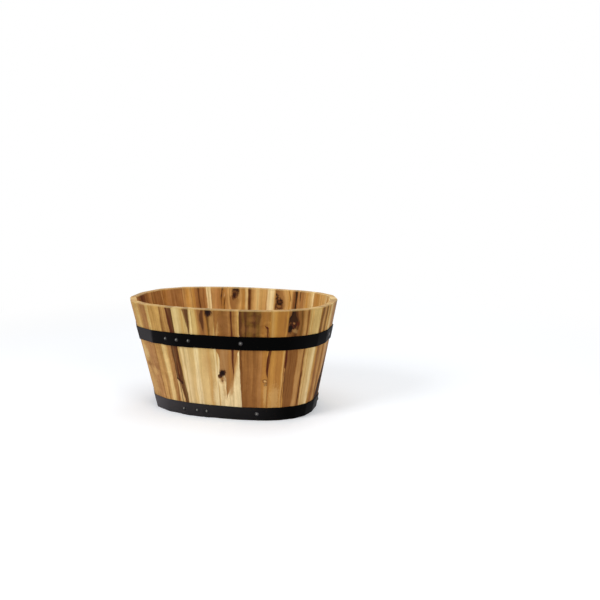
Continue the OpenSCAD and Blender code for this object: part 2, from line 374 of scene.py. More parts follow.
def timber(name, board, look, number):
    """Oiled acacia: bands of tone along the board, veins, patches and knots at their places, and grain."""
    wood = bpy.context.scene.planter_wood
    finish = Finish(bpy.data.materials.new(name))
    grain = finish.add("ShaderNodeAttribute", {"attribute_name": "grain"}, out=1)
    across, through, along = finish.parts(grain)
    height = along / board.length

    def hue(key):
        return tuple(getattr(wood, key))

    def noise(place, cycles, kind, detail=2.0, distortion=0.0):
        """Noise of one kind, which is another one on every board."""
        return finish.noise(place, cycles, number * 3.7 + kind, detail, distortion)

    # The place across the board, as the grain wanders and leans through it
    slow, wave = noise(grain, (20, 16, 6), 0), noise(grain, (65, 50, 20), 3)
    quick, speck = noise(grain, (240, 170, 62), 5), noise(grain, (430, 430, 300), 41, 3)
    level = across + (through - (board.thickness if look.inside else 0.0)) * 0.25
    level = level + (slow - 0.5) * 0.008 + (wave - 0.5) * 0.0052 + (quick - 0.5) * 0.0026
    ragged = (quick - 0.5) * 0.8 + (speck - 0.5) * 1.3

    def oval(place, height, wide, tall, tilt):
        """How far out a point is from a spot of so many mm, whose border is near 1, and the steps to it."""
        x, z = board.spot(place, height)
        turn = math.radians(tilt)
        right, up = level - x, along - z
        side = (right * math.cos(turn) + up * math.sin(turn)) / (wide / 2000)
        rise = (up * math.cos(turn) - right * math.sin(turn)) / (tall / 2000)
        return (side * side + rise * rise) ** 0.5 + ragged, right, up

    # The grain parts round each knot
    knots, flow = [], level
    for place, share_up, wide, tall, tilt, *tones in look.knots:
        out, right, up = oval(place, share_up, wide, tall, tilt)
        reach = (right * right) / (wide / 1100) ** 2 + (up * up) / (tall / 700) ** 2
        flow = flow - right * (reach * -0.8).exp() * 0.75
        knots.append((out, tones))

    # Bands of tone, which change behind the upper hoop
    (left, left_slope), (right, right_slope) = board.line(0), board.line(1)
    width = along * (right_slope - left_slope) + (right - left)
    where = (flow - (along * left_slope + left)) / width
    colour = finish.ramp(where, [(place, hue(key)) for place, key in look.upper])
    if look.lower:
        lower = finish.ramp(where, [(place, hue(key)) for place, key in look.lower])
        colour = finish.mix(height.rise(*BEHIND_HOOP), lower, colour)

    # Grain lines at three scales, a slow change of tone, the curl, and the oil near the rim
    lined = finish.joined(flow, through, along)
    broad, lines = noise(lined, (130, 80, 3), 11, 4), noise(lined, (520, 340, 9), 17, 3)
    fine, mottle = noise(lined, (1900, 1300, 42), 23, 2), noise(grain, (55, 55, 40), 29, 3)
    depth = (broad - 0.5) * 1.9 + (lines - 0.5) * 1.3 + (fine - 0.5) * 0.8 + (mottle - 0.5) * 0.9
    if look.curl:
        above, below = look.curl
        curl = noise(grain, (75, 60, 130), 37, 2, 0.8)
        depth = depth + (curl - 0.5) * (height.rise(*BEHIND_HOOP) * (above - below) + below) * 1.4
    depth = (depth * wood.figure * look.figure + 0.5).most(0.0).least(1.0)
    dark, light = (finish.tinted(colour, tint) for tint in ((0.64, 0.54, 0.44), (1.24, 1.26, 1.28)))
    colour = finish.mix(depth, dark, light)
    if look.lower:
        colour = finish.mix(height.rise(0.2, 1.0), colour, finish.tinted(colour, hue("brow")))

    # Veins. A ramp holds 0 to 1, and a border may lie half a board's width beyond either edge
    wandering = height + (quick - 0.5) * 0.03 + (speck - 0.5) * 0.02
    for key, soft, strength, path in look.veins:
        path = [(z, ((low + 0.5) / 2, (high + 0.5) / 2, 0.0)) for z, low, high in path]
        borders = finish.outputs("ShaderNodeSeparateColor", {0: finish.ramp(wandering, path)})
        low, high = (border * 2 - 0.5 for border in borders[:2])
        mask = (where - low).least(high - where).rise(0.0, soft) * strength
        colour = finish.mix(mask * (0.35 + broad * 1.2).least(1.0), colour, hue(key))

    for key, *spot, strength in look.patches:
        cover = oval(*spot)[0].rise(1.35, 0.4) * (0.5 + lines).least(1.0)
        colour = finish.mix(cover * strength, colour, hue(key))

    # Each knot's halo, ring and centre, which dries hollow, and then the pores
    pores = noise(lined, (3600, 2800, 130), 31, 1).rise(0.62, 0.74)
    relief = broad * 0.3 + lines * 0.35 + fine * 0.35 - pores * 0.5
    hollow = None
    for out, (centre, ring, halo, spread) in knots:
        colour = finish.mix(out.rise(spread, 0.8) * 0.8, colour, hue(halo))
        colour = finish.mix(out.rise(1.25, 0.75), colour, hue(ring))
        colour = finish.mix(out.rise(0.75, 0.35), colour, hue(centre))
        hollow = hollow.most(out.rise(1.0, 0.3)) if hollow else out.rise(1.0, 0.3)
    if hollow:
        relief = relief - hollow * 1.2
    colour = finish.mix(pores * 0.22, colour, hue("umber"))

    # A stave's inner face, painted brighter than its outer one as painted light in the shaded tub, and the
    # sanded end grain of its rim
    if board.along.z > 0.5:
        inner = finish.tinted(colour, tuple(c * 1.22 for c in wood.inner_painted_light))
        colour = finish.mix(through.rise(0.004, 0.009), colour, inner)
        rim = finish.parts(finish.object_place())[2].rise(RIM - 0.0024, RIM - 0.0012)
        sanded = finish.mix(lines, tuple(c * 0.72 for c in wood.rim), hue("rim"))
        colour = finish.mix(rim * (wood.rim_cover - 0.25 + quick * 0.5), colour, sanded)
    dull = finish.parts(colour)[1].rise(0.12, 0.0)
    rough = wood.sheen + (fine - 0.5) * 0.16 + pores * 0.12 + dull * 0.25
    return finish.surface(colour, rough, relief, 0.00022, 0.09)


LOOKS = {}
LOOKS["stave_01"] = Look(
    upper="0 straw, 0.1 cream, 0.2 honey, 0.35 gold, 0.5 brown, 0.65 tan, 1 umber",
    lower="0 gold, 0.15 amber, 0.3 honey, 0.5 clay, 0.7 tan, 1 olive",
    veins=[
        ("umber", 0.16, 0.85, "0 -0.3 0.86, 0.16 -0.14 0.96, 0.3 0.06 1, 0.42 0.4 0.96, 0.55 0.6 0.86, "
                              "0.66 0.68 0.74, 0.7 0.74 0.7"),
        ("bark", 0.12, 1, "0 -0.3 0.68, 0.14 -0.2 0.76, 0.2 -0.06 0.8, 0.28 0.1 0.84, 0.36 0.34 0.82, "
                          "0.44 0.6 0.76, 0.52 0.73 0.71"),
        ("umber", 0.05, 0.7, "0.55 0.62 0.58, 0.7 0.55 0.66, 0.9 0.56 0.62, 1 0.57 0.7"),
    ],
)
LOOKS["stave_02"] = Look(
    upper="0 straw, 0.25 cream, 0.5 straw, 0.72 honey, 1 tan",
    veins=[("brown", 0.04, 0.6, "0 0.8 0.9, 1 0.74 0.8")],
    inside=True,
)
LOOKS["stave_03"] = Look(
    upper="0 honey, 0.04 cream, 0.13 straw, 0.2 honey, 0.55 honey, 0.8 gold, 1 tan",
    inside=True,
)
LOOKS["stave_04"] = Look(
    upper="0 gold, 0.08 honey, 0.12 cream, 0.24 straw, 0.42 honey, 0.5 gold, 0.58 honey, 0.66 tan, 0.8 rose, "
          "0.88 tan",
    veins=[
        ("umber", 0.03, 0.9, "0.86 0.9 0.92, 0.9 0.86 0.95, 1 0.86 0.97"),
        ("brown", 0.03, 0.7, "0.5 0.7 0.74, 0.85 0.7 0.75, 1 0.72 0.76"),
    ],
    inside=True,
)
LOOKS["stave_05"] = Look(
    upper="0 tan, 0.05 rose, 0.2 brown, 0.29 tan, 0.34 honey, 0.46 gold, 0.55 honey, 0.68 honey, 0.74 tan, "
          "0.95 brown",
    veins=[
        ("pitch", 0.02, 0.95, "0 0.08 0.14, 0.7 0.1 0.15, 0.88 0.08 0.16, 1 0.06 0.18"),
        ("umber", 0.03, 0.9, "0.86 0.32 0.32, 0.9 0.34 0.4, 0.94 0.38 0.44, 1 0.48 0.53"),
        ("brown", 0.04, 0.7, "0.7 0.2 0.24, 0.9 0.2 0.29, 1 0.24 0.3"),
    ],
    knots="0.83 0.845 15 14 10 brown umber umber 1.7, 0.81 0.885 12 12 0 umber pitch umber 1.6, "
          "0.96 0.935 9 12 -20 brown bark umber 1.6, 0.84 0.915 6 5 20 brown umber umber 1.2",
    inside=True,
)
LOOKS["stave_06"] = Look(
    upper="0 brown, 0.04 honey, 0.075 cream, 0.3 cream, 0.33 tan, 0.4 honey, 0.6 honey, 0.66 straw, "
          "0.74 straw, 0.8 honey, 0.93 tan, 0.96 brown, 1 umber",
    figure=0.6, inside=True,
)
LOOKS["stave_07"] = Look(
    upper="0 umber, 0.05 brown, 0.08 straw, 0.17 straw, 0.24 gold, 0.5 honey, 0.75 tan, 0.84 honey, "
          "0.93 tan, 1 rose",
    veins=[("brown", 0.08, 0.85, "0.5 0.62 0.7, 0.75 0.58 0.78, 0.88 0.56 0.82, 0.92 0.7 0.72")],
    knots="0.6 0.965 12 24 14 bark bark umber 1.7, 0.67 0.925 9 17 16 bark umber brown 1.6",
    inside=True,
)
LOOKS["stave_08"] = Look(
    upper="0 tan, 0.1 amber, 0.28 clay, 0.45 rose, 0.6 tan, 0.655 rose, 0.68 cream, 0.83 cream, 0.87 rose, "
          "1 brown",
    veins=[
        ("cream", 0.03, 0.85, "0.86 0.15 0.15, 0.91 0.1 0.15, 0.95 0.11 0.13"),
        ("pitch", 0.025, 0.95, "0.6 0.12 0.17, 0.8 0.1 0.16, 0.88 0.05 0.11, 0.92 0.04 0.04"),
        ("bark", 0.03, 0.9, "0.6 0.25 0.26, 0.8 0.22 0.26, 0.89 0.22 0.29, 1 0.13 0.23"),
    ],
    inside=True,
)
LOOKS["stave_09"] = Look(
    upper="0 rose, 0.14 brown, 0.2 umber, 0.26 brown, 0.38 rose, 0.46 gold, 0.6 honey, 0.74 gold, 0.9 tan",
    veins=[("brown", 0.03, 0.7, "0 0.5 0.56, 1 0.53 0.58")],
    inside=True,
)
LOOKS["stave_10"] = Look(
    upper="0 rose, 0.14 clay, 0.4 rose, 0.52 clay, 0.6 rose, 0.9 amber, 1 clay",
    inside=True,
)
LOOKS["stave_11"] = Look(
    upper="0 tan, 0.1 brown, 0.35 rose, 0.5 brown, 0.75 rose, 1 brown",
    veins=[("olive", 0.05, 0.6, "0 0.66 0.8, 1 0.6 0.74")],
    inside=True,
)
LOOKS["stave_12"] = Look(
    upper="0.3 brown, 0.55 umber, 0.8 brown, 1 rose",
    veins=[("russet", 0.06, 0.7, "0.3 0.3 0.3, 0.9 0.2 0.6, 1 0.15 0.65")],
    inside=True,
)
LOOKS["stave_13"] = Look(
    upper="0 tan, 0.3 honey, 0.5 straw, 0.7 honey, 1 tan",
    veins=[("brown", 0.04, 0.7, "0 0.12 0.2, 1 0.16 0.2")],
)
LOOKS["stave_14"] = Look(
    upper="0 tan, 0.1 honey, 0.2 honey, 0.34 straw, 0.44 honey, 0.52 tan, 0.74 rose, 0.88 rose, 0.93 honey, "
          "1 straw",
    lower="0.16 honey, 0.4 tan, 0.6 tan, 0.74 rose, 0.9 tan, 1 rose",
    patches="straw 0.23 0.54 20 28 8 0.65, rose 0.66 0.55 20 34 0 0.7, brown 0.27 0.43 17 11 -12 0.85, "
            "brown 0.84 0.415 10 22 -16 0.7, honey 0.64 0.37 18 16 42 0.8, rose 0.74 0.235 15 28 -6 0.8, "
            "honey 0.3 0.24 18 40 6 0.6",
    curl=(0.6, 1), figure=0.8,
)
LOOKS["stave_15"] = Look(
    upper="0.05 straw, 0.09 honey, 0.48 honey, 0.53 brown, 0.58 tan, 0.64 honey, 0.7 tan, 0.78 tan, "
          "0.93 honey, 1 straw",
    lower="0 tan, 0.1 honey, 0.22 tan, 0.29 honey, 0.35 straw, 0.46 straw, 0.52 honey, 0.6 tan, 0.71 rose, "
          "0.77 straw, 0.86 straw, 1 honey",
    veins=[
        ("brown", 0.03, 0.9, "0 0.57 0.67, 0.12 0.6 0.7, 0.27 0.69 0.77, 0.34 0.74 0.76"),
        ("umber", 0.03, 0.7, "0 0.6 0.64, 0.12 0.63 0.67, 0.26 0.71 0.74, 0.3 0.73 0.73"),
        ("brown", 0.03, 0.95, "0 0.98 1.12, 0.13 0.94 1.07, 0.2 0.89 1.02, 0.3 0.84 0.99"),
        ("umber", 0.04, 0.95, "0 0.96 1.2, 0.13 0.93 1.2, 0.2 0.89 1.2, 0.3 0.86 1.2"),
        ("umber", 0.04, 0.95, "0.27 0.94 0.94, 0.29 0.9 0.99, 0.31 0.84 0.98, 0.33 0.76 0.97, "
                              "0.345 0.72 0.97, 0.42 0.7 1.2, 0.5 0.68 1.2, 0.62 0.68 1.2, 0.67 0.72 1.2, "
                              "0.7 0.88 0.88"),
        ("russet", 0.05, 0.75, "0.32 0.8 0.85, 0.4 0.76 0.95, 0.48 0.78 0.96, 0.58 0.92 0.96"),
        ("brown", 0.04, 0.8, "0.34 0.9 0.88, 0.4 0.83 0.93, 0.52 0.8 0.92, 0.6 0.8 0.9, 0.66 0.83 0.87"),
        ("bark", 0.02, 0.95, "0.27 0.95 0.95, 0.29 0.9 0.98, 0.305 0.84 0.97, 0.32 0.77 0.9, "
                             "0.335 0.72 0.84, 0.35 0.73 0.73"),
        ("umber", 0.03, 0.9, "0.66 0.86 0.86, 0.7 0.77 0.98, 0.78 0.77 0.95, 1 0.76 0.88"),
        ("russet", 0.03, 0.95, "0.7 0.82 0.88, 0.76 0.79 0.93, 0.9 0.79 0.88, 1 0.785 0.86"),
    ],
    curl=(0.4, 0.5), figure=0.9,
)
LOOKS["stave_16"] = Look(
    upper="0 straw, 0.2 cream, 0.45 straw, 0.52 honey, 0.57 straw, 0.86 straw, 0.9 cream, 0.95 straw",
    lower="0.08 honey, 0.15 straw, 0.28 cream, 0.37 straw, 0.43 cream, 0.7 straw, 0.85 straw, 0.9 cream",
    veins=[
        ("umber", 0.06, 1, "0.68 0.81 0.8, 0.76 0.76 0.84, 0.86 0.67 0.86, 1 0.54 0.87"),
        ("brown", 0.05, 0.7, "0.8 0.78 0.78, 0.88 0.69 0.75, 0.96 0.6 0.7, 1 0.57 0.67"),
        ("umber", 0.05, 0.9, "0 -0.2 0.18, 0.13 -0.2 0.2, 0.25 -0.2 0.19, 0.35 -0.2 0.15, 0.5 -0.2 0.1, "
                             "0.64 -0.2 0.06, 0.72 -0.2 -0.06"),
    ],
    figure=0.55,
)
LOOKS["stave_17"] = Look(
    upper="0.12 straw, 0.2 honey, 0.32 rose, 0.5 clay, 0.62 rose, 0.7 amber, 0.77 olive, 0.82 tan, 0.9 tan, "
          "0.96 honey, 1 straw",
    lower="0.08 cream, 0.16 straw, 0.5 straw, 0.66 honey, 0.76 straw, 0.9 straw, 0.95 cream",
    veins=[
        ("brown", 0.08, 0.9, "0.66 0.49 0.47, 0.72 0.38 0.58, 0.8 0.34 0.62, 1 0.28 0.72"),
        ("umber", 0.07, 0.95, "0.76 0.5 0.5, 0.84 0.42 0.6, 0.9 0.36 0.64, 0.95 0.4 0.66, 1 0.5 0.7"),
        ("umber", 0.03, 0.8, "0.7 0.75 0.73, 0.8 0.71 0.76, 0.93 0.7 0.77, 1 0.74 0.78"),
    ],
    patches="cream 0.86 0.2 12 50 0 0.6, tan 0.5 0.52 18 60 0 0.35, umber 0.44 0.9 7 12 0 0.6",
    knots="0.78 0.972 14 14 0 pitch bark umber 1.7",
    figure=0.6,
)
LOOKS["stave_18"] = Look(
    upper="0 rose, 0.06 clay, 0.2 clay, 0.4 brown, 0.58 rose, 0.64 clay, 0.78 clay, 0.86 tan, 0.93 honey, "
          "0.97 honey, 1 tan",
    lower="0 straw, 0.03 honey, 0.07 straw, 0.11 cream, 0.97 cream, 1 straw",
    veins=[
        ("gold", 0.09, 0.75, "0.26 0.5 0.48, 0.32 0.4 0.74, 0.38 0.4 0.83, 0.455 0.4 0.9, 0.52 0.4 0.95, "
                             "0.6 0.4 1, 0.66 0.7 0.68"),
        ("clay", 0.045, 1, "0.185 0.39 0.39, 0.2 0.375 0.41, 0.24 0.36 0.46, 0.29 0.33 0.56, 0.33 0.31 0.68, "
                           "0.38 0.27 0.75, 0.4 0.2 0.77, 0.455 0.15 0.82, 0.52 0.14 0.86, 0.58 0.12 0.9, "
                           "0.63 0 0.95, 0.68 -0.2 1.1, 0.74 -0.2 1.1, 0.78 0.5 0.5"),
        ("amber", 0.06, 0.7, "0.25 0.44 0.42, 0.4 0.5 0.66, 0.66 0.5 0.64, 0.7 0.6 0.6"),
        ("umber", 0.03, 0.7, "0.33 0.75 0.75, 0.45 0.7 0.79, 0.62 0.65 0.79, 1 0.64 0.74"),
        ("russet", 0.02, 0.95, "0.38 0.75 0.73, 0.45 0.71 0.77, 0.56 0.69 0.76, 0.66 0.66 0.75, "
                               "0.76 0.655 0.725, 1 0.66 0.72"),
    ],
    patches="brown 0.28 0.9 16 20 12 0.8, brown 0.42 0.83 12 18 -20 0.6, honey 0.1 0.81 5 30 -8 0.6, "
            "brown 0.18 0.83 8 12 30 0.5, tan 0.2 0.36 10 12 0 0.7, clay 0.2 0.385 7 10 0 0.9, "
            "umber 0.21 0.36 4 6 0 0.8, tan 0.3 0.26 6 30 6 0.6, tan 0.6 0.29 8 32 -10 0.8, "
            "brown 0.32 0.38 7 12 10 0.6",
    knots="0.11 0.4 9 7 28 umber umber tan 1.6, 0.23 0.43 9 14 -20 pitch bark umber 1.6",
    curl=(0.9, 0.3), figure=0.7,
)
LOOKS["stave_19"] = Look(
    upper="0.04 umber, 0.14 olive, 0.2 umber, 0.26 olive, 0.4 olive, 0.5 umber, 0.58 olive, 0.66 olive, "
          "0.71 clay, 0.78 amber, 0.9 clay, 1 gold",
    lower="0.07 brown, 0.2 clay, 0.32 brown, 0.44 clay, 0.54 brown, 0.64 clay, 0.74 rose, 0.82 amber, "
          "0.92 amber, 0.97 gold, 1 honey",
    veins=[
        ("cream", 0.015, 0.95, "0 -0.2 0.05, 0.12 -0.2 0.045, 0.4 -0.2 0.02, 0.55 -0.2 0"),
        ("umber", 0.04, 0.85, "0.1 0.07 0.1, 0.4 0.04 0.09, 0.6 0 0.08, 0.66 0 0.08"),
        ("russet", 0.015, 1, "0.7 0.95 0.94, 0.73 0.92 0.965, 0.82 0.915 0.96, 0.855 0.89 0.95, "
                             "0.875 0.81 0.9, 0.88 0.84 0.84"),
        ("russet", 0.015, 1, "0.33 0.96 0.94, 0.345 0.87 0.99, 0.37 0.94 1, 0.4 0.925 1.01, 0.44 0.92 1.04, "
                             "0.52 0.935 1.08, 0.6 0.96 1.1, 0.68 0.985 1.1, 0.73 1.1 1.08"),
        ("russet", 0.01, 1, "0.42 0.95 0.94, 0.46 0.935 1.02, 0.6 0.965 1.1, 0.68 0.99 1.1, 0.73 1.1 1.08"),
    ],
    patches="umber 0.21 0.965 8 22 0 0.9, umber 0.24 0.84 9 14 -20 0.8, umber 0.5 0.955 20 6 4 0.65, "
            "umber 0.49 0.895 17 6 -5 0.6, umber 0.47 0.93 5 15 6 0.5, umber 0.63 0.93 6 20 -4 0.6, "
            "brown 0.4 0.925 16 12 8 0.5, clay 0.42 0.83 22 14 0 0.4, brown 0.12 0.84 8 24 0 0.6, "
            "umber 0.04 0.87 6 16 0 0.8, honey 0.93 0.25 7 50 0 0.7",
    knots="0.9 0.37 8 7 0 honey brown umber 1.5",
    curl=(1.3, 0.4), figure=0.8,
)
LOOKS["stave_20"] = Look(
    upper="0 gold, 0.08 honey, 0.3 gold, 0.5 amber, 0.85 amber, 0.93 gold, 1 clay",
    lower="0.1 amber, 0.2 gold, 0.3 gold, 0.5 amber, 0.75 amber, 0.86 gold, 0.93 honey, 1 clay",
    veins=[
        ("russet", 0.02, 1, "0.4 -0.2 -0.2, 0.43 -0.2 0.02, 0.5 -0.2 0.06, 0.62 -0.2 0.13, 0.68 -0.2 0.14, "
                            "0.73 0 -0.02"),
    ],
    patches="honey 0.5 0.2 20 60 0 0.7, brown 0.8 0.88 5 40 0 0.35",
    figure=0.5,
)
LOOKS["stave_21"] = Look(
    upper="0 rose, 0.05 clay, 0.12 brown, 0.3 umber, 0.42 brown, 0.52 brown, 0.62 olive, 0.7 clay, 0.76 tan, "
          "0.88 tan, 0.94 clay, 1 brown",
    lower="0 rose, 0.05 umber, 0.1 brown, 0.56 brown, 0.62 clay, 0.68 tan, 0.86 tan, 0.94 clay, 1 brown",
    veins=[
        ("gold", 0.03, 0.9, "0 -0.2 0.12, 0.12 -0.2 0.1, 0.3 -0.2 0.04, 0.45 -0.2 0"),
        ("russet", 0.02, 1, "0.46 0.04 0.03, 0.5 -0.1 0.05, 0.6 -0.1 0.08, 0.68 -0.1 0.1, 0.73 0 -0.02"),
        ("pitch", 0.03, 0.95, "0.84 0.12 0.1, 0.87 0.04 0.22, 0.9 0.11 0.28, 0.94 0.11 0.28, 1 0.09 0.28"),
    ],
    patches="honey 0.36 0.82 13 8 -36 0.35, russet 0.42 0.876 9 9 -30 0.9",
    knots="0.22 0.862 12 13 -20 russet bark umber 1.4, 0.1 0.84 9 15 -14 pitch pitch umber 1.4, "
          "0.27 0.885 9 7 -20 brown bark russet 1.3",
    figure=0.8,
)
LOOKS["stave_22"] = Look(
    upper="0 brown, 0.06 tan, 0.12 honey, 0.25 straw, 0.33 honey, 0.42 straw, 0.92 straw, 1 honey",
    lower="0 umber, 0.05 brown, 0.12 honey, 0.24 straw, 0.32 honey, 0.4 straw, 0.55 straw, 0.85 cream, "
          "0.95 straw, 1 honey",
    veins=[("brown", 0.05, 0.75, "0 0.02 0.18, 0.2 0.02 0.15, 0.36 0.02 0.09, 0.5 0.04 0.04")],
    figure=0.8,
)
LOOKS["stave_23"] = Look(
    upper="0 amber, 0.08 olive, 0.2 brown, 0.34 honey, 0.46 amber, 0.6 olive, 0.76 honey, 0.88 amber, "
          "1 straw",
    lower="0 honey, 0.14 gold, 0.25 clay, 0.38 brown, 0.52 amber, 0.62 honey, 0.75 amber, 0.9 olive, 1 amber",
    veins=[
        ("bark", 0.05, 0.95, "0 0.8 1.2, 0.1 0.88 1.2, 0.18 1 1.2, 0.22 1.2 1.2"),
        ("honey", 0.05, 0.8, "0.06 0.64 0.62, 0.14 0.62 0.76, 0.3 0.6 0.74, 0.4 0.68 0.66"),
    ],
    figure=1.1,
)
LOOKS["bottom"] = Look(upper="0 tan, 0.2 honey, 0.45 straw, 0.6 honey, 0.8 rose, 1 tan")


# ---- Making pieces ----


def carried_copy(node):
    """A CAD node's mesh, merged and with its flat faces whole again."""
    bm = bmesh.new()
    bm.from_mesh(NODES[node].data)
    bmesh.ops.remove_doubles(bm, verts=bm.verts, dist=1e-6)
    bmesh.ops.dissolve_limit(
        bm, angle_limit=math.radians(0.3), verts=bm.verts, edges=bm.edges, use_dissolve_boundaries=False
    )
    return bm


def ease(bm, edges, offset, segments):
    """Rounds edges."""
    made = bmesh.ops.bevel(
        bm, geom=edges, offset=offset, offset_type="OFFSET", segments=segments, profile=0.5, affect="EDGES",
        material=-1, clamp_overlap=True,
    )
    for face in made["faces"]:
        face.smooth = True


def all_above(edge, height):
    return all(vert.co.z > height for vert in edge.verts)


def all_below(edge, height):
    return all(vert.co.z < height for vert in edge.verts)


def way(edge):
    return (edge.verts[1].co - edge.verts[0].co).normalized()


def finish_piece(bm, name, node, material, board=None):
    """Makes a bmesh the piece that stands for a CAD node."""
    if board:
        layer = bm.verts.layers.float_vector.new("grain")
        for vert in bm.verts:
            vert[layer] = board.place(vert.co)
    mesh = bpy.data.meshes.new(name)
    bm.to_mesh(mesh)
    bm.free()
    mesh.materials.append(material)
    piece = bpy.data.objects.new(name, mesh)
    bpy.context.scene.collection.objects.link(piece)
    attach(piece, "root")
    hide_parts(node)
    return piece


def round_corners(bm, node, radius):
    """Bends a stave's outer face back beside its joints, so that two staves meet in one sanded round."""
    board = stave_board(node, False)
    low = end_corners(node, 0.0)
    near = 1e-4
    for side, outer, inner in ((1, low[0], low[3]), (-1, low[1], low[2])):
        lean = abs((inner - outer).dot(board.across)) / (inner - outer).dot(board.through)
        if lean < 0.08:  # The joint is nearly flat
            continue
        start, slope = board.line(0 if side == 1 else 1)
        reach = radius * lean
        normal = (board.across - board.along * slope).normalized()
        for part in (1.0, 0.5):
            faces = [f for f in bm.faces if all(abs(board.place(v.co).y) < near for v in f.verts)]
            geom = list(dict.fromkeys(element for f in faces for element in (*f.verts, *f.edges, f)))
            point = board.foot + board.across * (start + side * reach * part)
            bmesh.ops.bisect_plane(bm, geom=geom, plane_co=point, plane_no=normal)
        for vert in bm.verts:
            place = board.place(vert.co)
            gap = side * (place.x - start - slope * place.z)
            if abs(place.y) < near and gap < reach:
                inward = (reach - max(gap, 0.0)) ** 2 / (2 * radius)
                shift = board.through + board.across * (side * lean if gap < near else 0.0)
                shift -= board.along * (shift.z / board.along.z)
                vert.co += shift * inward


def make_stave(node, number, draws):
    settings = bpy.context.scene.planter_staves
    look = LOOKS[node]
    board = stave_board(node, look.inside)
    bm = carried_copy(node)
    drops = [draws.random() * settings.rim_drop for _ in range(2)]
    for vert in bm.verts:
        if vert.co.z > RIM - CLOSE:
            vert.co -= board.along * drops[board.place(vert.co).x > 0]
    round_corners(bm, node, settings.corner_radius)
    top = [e for e in bm.edges if all_above(e, RIM - 0.002)]
    ease(bm, top, settings.rim_easing * draws.uniform(0.8, 1.25), 3)
    foot = [e for e in bm.edges if all_below(e, CLOSE)]
    ease(bm, foot, settings.foot_easing, 2)
    sides = [
        e for e in bm.edges
        if e.calc_length() > 0.004 and e.calc_face_angle(0) > CORNER and abs(way(e).dot(board.along)) > 0.97
    ]
    ease(bm, sides, settings.edge_easing * draws.uniform(0.8, 1.3), 2)
    material = timber(node + "_acacia", board, look, number)
    finish_piece(bm, node + "_board", node, material, board)


def make_bottom_board(node, number):
    settings = bpy.context.scene.planter_bottom
    low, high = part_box(node)
    bm = carried_copy(node)
    rims = [
        e for e in bm.edges
        if e.calc_face_angle(0) > CORNER and (all_above(e, high.z - CLOSE) or all_below(e, low.z + CLOSE))
    ]
    ease(bm, rims, settings.easing, 2)
    board = bottom_plank(node)
    material = timber(node + "_acacia", board, LOOKS["bottom"], 40 + number)
    finish_piece(bm, node + "_plank", node, material, board)


def black_paint(name, dust_and_sheen_along, roughness, gloss, painted_highlight=0.0):
    """Satin black paint on steel, with its dust and painted sheen as (place along the tub, share) from the
    left, and a painted highlight on nail crowns.
    """
    iron = bpy.context.scene.planter_iron
    finish = Finish(bpy.data.materials.new(name))
    spot = finish.object_place()
    cloud = finish.noise(spot, (18, 18, 50), 3.0, 3)
    scuff = finish.noise(spot, (90, 90, 500), 9.0, 3, 0.6)
    skin = finish.noise(spot, (1500, 1500, 1500), 5.0, 2)
    # A ramp holds 0 to 1, and the tub lies within a quarter of a metre of its middle
    along = finish.parts(spot)[0] * 2 + 0.5
    # The ramp lays dust, and towards the hoops' left ends a painted sheen: grey paint for the light from the
    # left glancing off those facets.
    dust_and_sheen_cover = finish.ramp(along, [(place * 2 + 0.5, (cover,) * 3) for place, cover in dust_and_sheen_along])
    dust_and_sheen_cover = finish.outputs("ShaderNodeSeparateColor", {0: dust_and_sheen_cover})[0]
    dust_and_sheen = (dust_and_sheen_cover * (0.8 + cloud * 0.3 + scuff * 0.1) + scuff.rise(0.62, 0.85) * dust_and_sheen_cover * 0.3).least(1.0)
    colour = finish.mix(dust_and_sheen, tuple(iron.paint), tuple(iron.dust_and_sheen))
    # A painted highlight: pale grey painted on each nail crown, centred a millimetre higher than its middle.
    if painted_highlight:
        crown = finish.add("ShaderNodeAttribute", {"attribute_name": "crown"}, out=2)
        highlight_mask = (crown + (skin - 0.5) * 0.3 + (scuff - 0.5) * 0.3).rise(0.4, 0.85)
        colour = finish.mix(highlight_mask * painted_highlight, colour, tuple(iron.painted_highlight))
    rough = roughness + dust_and_sheen * 0.2 + (skin - 0.5) * 0.1
    return finish.surface(colour, rough, skin * 0.6 + scuff * 0.4, 0.00006, gloss)


def shade_level(bm, level, wide=0.0001):
    """Shades wide faces as one where they lie nearly level, else flat, and the narrow ones as round."""
    bm.normal_update()
    for edge in bm.edges:
        flat = any(face.calc_area() > wide for face in edge.link_faces)
        edge.smooth = edge.calc_face_angle(0) < (level if flat else math.radians(40))
    for face in bm.faces:
        face.smooth = True


def make_hoop(node, material):
    settings = bpy.context.scene.planter_iron
    low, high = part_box(node)
    bm = carried_copy(node)
    bm.normal_update()
    # The upright edges on the outside, where the strip bends over the staves' joints
    bends = [
        e for e in bm.edges
        if e.calc_length() > STRIP_EDGE
        and math.radians(1) < abs(e.calc_face_angle_signed(0)) < math.radians(60)
        and abs(e.verts[1].co.z - e.verts[0].co.z) > 0.8 * e.calc_length()
        and e.link_faces[0].normal.dot(Vector((e.verts[0].co.x, e.verts[0].co.y * 3, 0))) > 0
    ]
    ease(bm, bends, settings.bend, 3)
    bm.normal_update()
    rims = [
        e for e in bm.edges
        if e.calc_face_angle(0) > math.radians(45)
        and (all_above(e, high.z - 0.0006) or all_below(e, low.z + 0.0006) or e.calc_length() > STRIP_EDGE)
    ]
    ease(bm, rims, settings.edge, 2)
    shade_level(bm, math.radians(5))
    finish_piece(bm, node + "_strip", node, material)


def islands(bm):
    """The vertices of each separate shape."""
    left = dict.fromkeys(bm.verts)
    while left:
        border, reached = [next(iter(left))], []
        while border:
            vert = border.pop()
            if vert in left:
                del left[vert]
                reached.append(vert)
                border += [edge.other_vert(vert) for edge in vert.link_edges]
        yield reached


